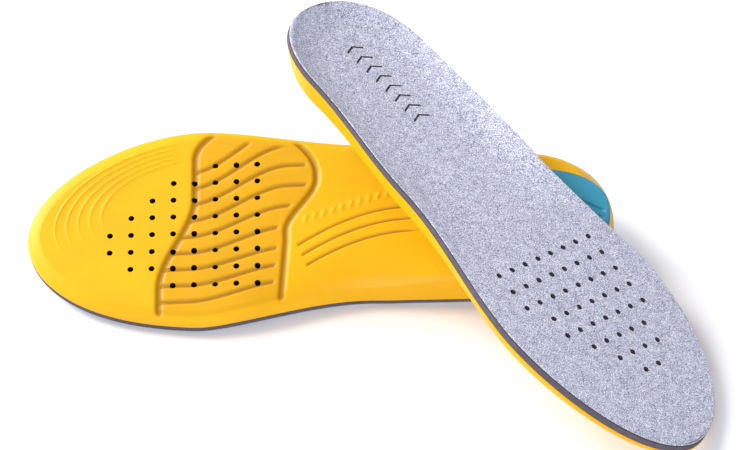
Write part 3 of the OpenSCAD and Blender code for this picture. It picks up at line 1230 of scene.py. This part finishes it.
class INSOLES_OT_heel_pads(bpy.types.Operator):
    """Make the two heel pads let into the foam bodies"""

    bl_idname = "insoles.heel_pads"
    bl_label = "Heel pads"

    def execute(self, context):
        materials = [moulded_elastomer()]
        for side, shape, flip, place in pair():
            mesh = heel_pad_mesh(shape, flip)
            piece = finish_piece(f"{side}_shock_pad", mesh, place, side, materials)
            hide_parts(f"{side}_heel_pad")
        return {"FINISHED"}


class INSOLES_OT_linings(bpy.types.Operator):
    """Make the two foam linings under the covers"""

    bl_idname = "insoles.linings"
    bl_label = "Linings"

    def execute(self, context):
        materials = [cut_eva_foam()]
        for side, shape, flip, place in pair():
            mesh = lining_mesh(shape, flip)
            piece = finish_piece(f"{side}_foam_lining", mesh, place, side, materials)
            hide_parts(f"{side}_lining")
        return {"FINISHED"}


class INSOLES_OT_top_covers(bpy.types.Operator):
    """Make the two brushed fabric covers"""

    bl_idname = "insoles.top_covers"
    bl_label = "Top covers"

    def execute(self, context):
        materials = [brushed_polyester(), cut_fabric()]
        for side, shape, flip, place in pair():
            mesh = top_cover_mesh(shape, flip)
            name, cut = f"{side}_fabric_cover", upright(mesh)
            piece = finish_piece(name, mesh, place, side, materials, cut)
            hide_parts(f"{side}_top_cover")
            x = shape.stations(2000)
            width = shape.reach(x, 1) + shape.reach(x, -1)
        return {"FINISHED"}


class INSOLES_OT_stage(bpy.types.Operator):
    """Make the floor, the lights and the camera"""

    bl_idname = "insoles.stage"
    bl_label = "Stage"

    def execute(self, context):
        scene = context.scene
        reach = 4.0
        mesh = bpy.data.meshes.new("floor")
        corners = [(-reach, -reach, 0), (reach, -reach, 0), (reach, reach, 0), (-reach, reach, 0)]
        mesh.from_pydata(corners, [], [(0, 1, 2, 3)])
        mesh.materials.append(paper_sweep())
        floor = bpy.data.objects.new("floor", mesh)
        scene.collection.objects.link(floor)

        world = bpy.data.worlds.new("studio")
        world.use_nodes = True
        sky = world.node_tree.nodes["Background"]
        sky.inputs["Color"].default_value = (*linear("#F4F6FF"), 1)
        sky.inputs["Strength"].default_value = 0.66
        scene.world = world

        aim = Vector((0.0, 0.02, 0.03))
        # Name, place, size, power and colour
        lamps = (
            ("key_softbox", (-1.9, 1.0, 2.1), 1.15, 66.0, "#FFFDF8"),
            ("back_strip", (-1.7, 1.2, 0.65), 0.8, 52.0, "#FFFFFF"),
            ("front_fill", (-0.2, -1.8, 0.9), 1.2, 25.0, "#F6F8FF"),
        )
        for name, place, size, power, colour in lamps:
            lamp = bpy.data.lights.new(name, "AREA")
            lamp.shape, lamp.size, lamp.energy = "SQUARE", size, power
            lamp.color = linear(colour)
            holder = bpy.data.objects.new(name, lamp)
            scene.collection.objects.link(holder)
            holder.location = place
            holder.rotation_euler = (aim - holder.location).to_track_quat("-Z", "Y").to_euler()

        elevation, distance = math.radians(46), 1.4896
        target = Vector((0.00456, 0.02123, 0.020))
        lens = bpy.data.cameras.new("camera")
        lens.lens, lens.sensor_width = 158.4, 36.0
        lens.clip_start, lens.clip_end = 0.05, 20.0
        camera = bpy.data.objects.new("camera", lens)
        scene.collection.objects.link(camera)
        back = Vector((0, -math.cos(elevation) * distance, math.sin(elevation) * distance))
        camera.location = target + back
        camera.rotation_euler = (target - camera.location).to_track_quat("-Z", "Y").to_euler()
        scene.camera = camera
        scene.view_settings.view_transform = "Standard"
        scene.view_settings.look = "None"
        return {"FINISHED"}


class INSOLES_PT_panel(bpy.types.Panel):
    """Settings and steps of the insole pair"""

    bl_label = "Insoles"
    bl_idname = "INSOLES_PT_panel"
    bl_space_type = "VIEW_3D"
    bl_region_type = "UI"
    bl_category = "Insoles"

    def draw(self, context):
        scene = context.scene
        for title, group in GROUPS.items():
            box = self.layout.box()
            box.label(text=title)
            settings = getattr(scene, group[0])
            for name in group[1].__annotations__:
                box.prop(settings, name)
        for step in STEPS:
            self.layout.operator(step.bl_idname)


GROUPS = {
    "Sizes": ("insole_sizes", InsoleSizes),
    "Moulded relief": ("insole_relief", InsoleRelief),
    "Layout": ("insole_layout", PairLayout),
    "Colours": ("insole_colours", InsoleColours),
}
STEPS = (
    INSOLES_OT_stage,
    INSOLES_OT_foam_bodies,
    INSOLES_OT_heel_pads,
    INSOLES_OT_linings,
    INSOLES_OT_top_covers,
)


def register():
    for name, group in GROUPS.values():
        bpy.utils.register_class(group)
        setattr(bpy.types.Scene, name, PointerProperty(type=group))
    for kind in (*STEPS, INSOLES_PT_panel):
        bpy.utils.register_class(kind)


def unregister():
    for kind in (INSOLES_PT_panel, *reversed(STEPS)):
        bpy.utils.unregister_class(kind)
    for name, group in reversed(GROUPS.values()):
        delattr(bpy.types.Scene, name)
        bpy.utils.unregister_class(group)


def main():
    register()
    bpy.ops.insoles.stage()
    bpy.ops.insoles.foam_bodies()
    bpy.ops.insoles.heel_pads()
    bpy.ops.insoles.linings()
    bpy.ops.insoles.top_covers()


if __name__ == "__main__":
    main()
